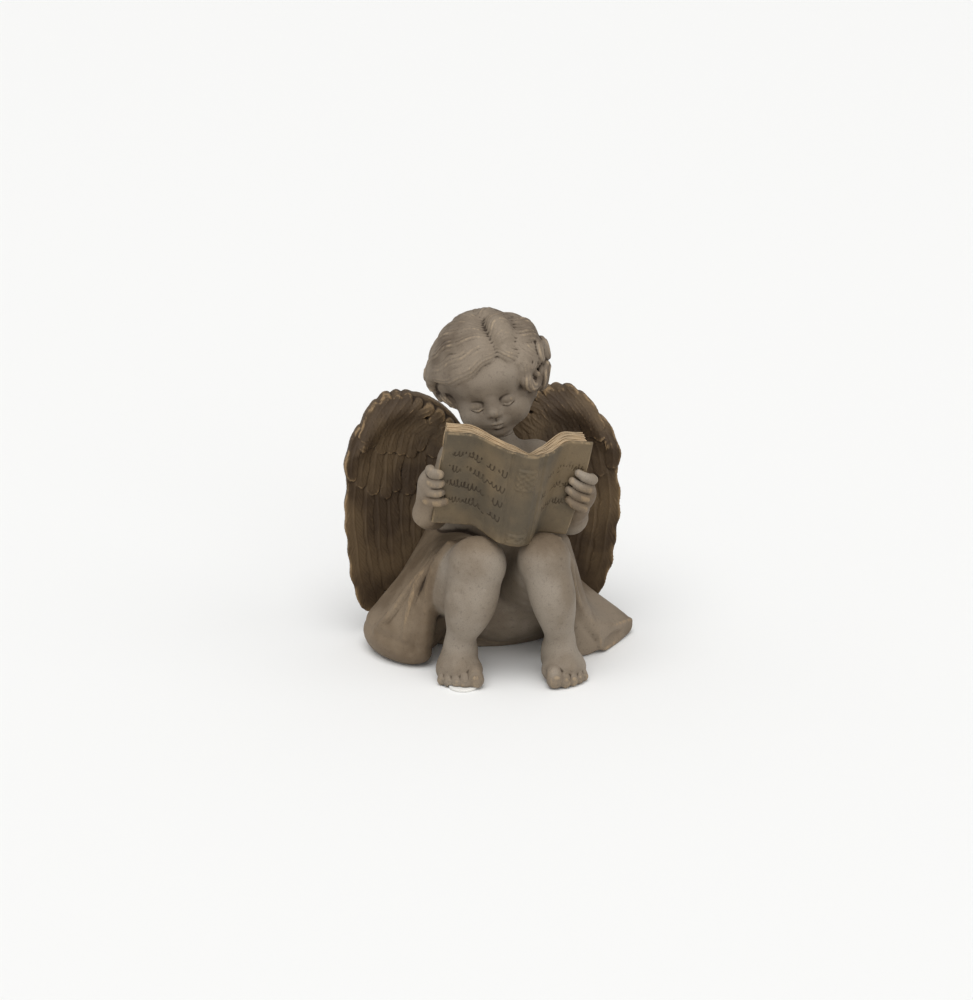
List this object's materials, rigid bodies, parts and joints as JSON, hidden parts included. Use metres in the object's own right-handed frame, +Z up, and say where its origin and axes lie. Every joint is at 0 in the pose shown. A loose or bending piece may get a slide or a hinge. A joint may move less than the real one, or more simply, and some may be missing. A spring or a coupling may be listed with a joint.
{
  "type": "garden statue",
  "caption": "Seated winged cherub in a draped robe reading an open book, cast in one piece with a flat underside.",
  "frame": {"origin": "centre of the bounding box, on the ground under the statue", "axes": "+Z up; the figure looks along -Y; +X is on the figure's left"},
  "size_m": [0.2114, 0.1684, 0.2513],
  "materials": {
    "cast_stone": "matt, aged brown and grey wash",
    "felt": "matt"
  },
  "bodies": {
    "root": {"cherub": "cast_stone", "felt_pad": "felt"}
  },
  "joints": []
}
